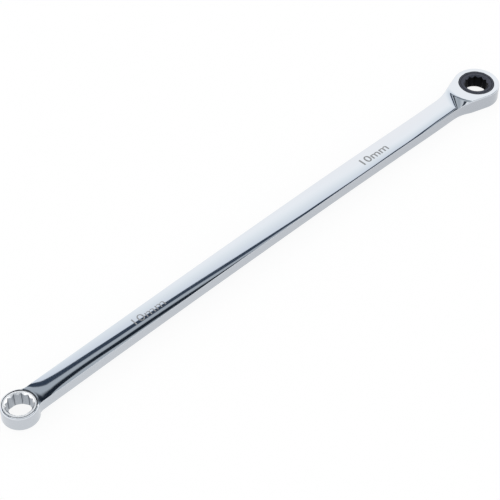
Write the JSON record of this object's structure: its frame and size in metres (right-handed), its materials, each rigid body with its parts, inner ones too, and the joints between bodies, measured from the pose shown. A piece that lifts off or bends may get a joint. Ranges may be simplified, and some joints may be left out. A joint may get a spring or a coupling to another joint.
{
  "type": "ratchet wrench",
  "caption": "Extra-long flat wrench with a twelve-point ratchet ring at one end and a fixed twelve-point box ring of the same size at the other.",
  "frame": {"origin": "on the ratchet's drive axis, in the plane that the wrench lies on", "axes": "+X from the handle to the ratchet head, +Z along the drive axis, up out of the face that shows"},
  "size_m": [0.2958, 0.0218, 0.0079],
  "materials": {
    "chrome_plate": "polished chrome plate over a steel forging",
    "black_oxide": "black oxide, satin",
    "hardened_steel": "hardened and oiled, dark grey",
    "spring_steel": "bright drawn wire",
    "washer_steel": "blackened sheet steel, satin",
    "snap_ring_steel": "phosphated spring steel, matte"
  },
  "bodies": {
    "wrench_body": {"wrench_body": "chrome_plate", "cover_washer": "washer_steel", "snap_ring": "snap_ring_steel", "pawl_spring": "spring_steel"},
    "ratchet_gear": {"ratchet_gear": "black_oxide"},
    "pawl": {"pawl": "hardened_steel"}
  },
  "joints": [
    {"name": "gear_spin", "type": "hinge", "parent": "wrench_body", "child": "ratchet_gear", "pos_m": [0, 0, 0.0038], "axis": [0, 0, 1], "continuous": true},
    {"name": "pawl_slide", "type": "slide", "parent": "wrench_body", "child": "pawl", "axis": [-1, 0, 0], "range_m": [0, 0.00055], "stiffness_N_per_m": 400, "springref_m": -0.0012, "deforming": ["pawl_spring"]}
  ]
}
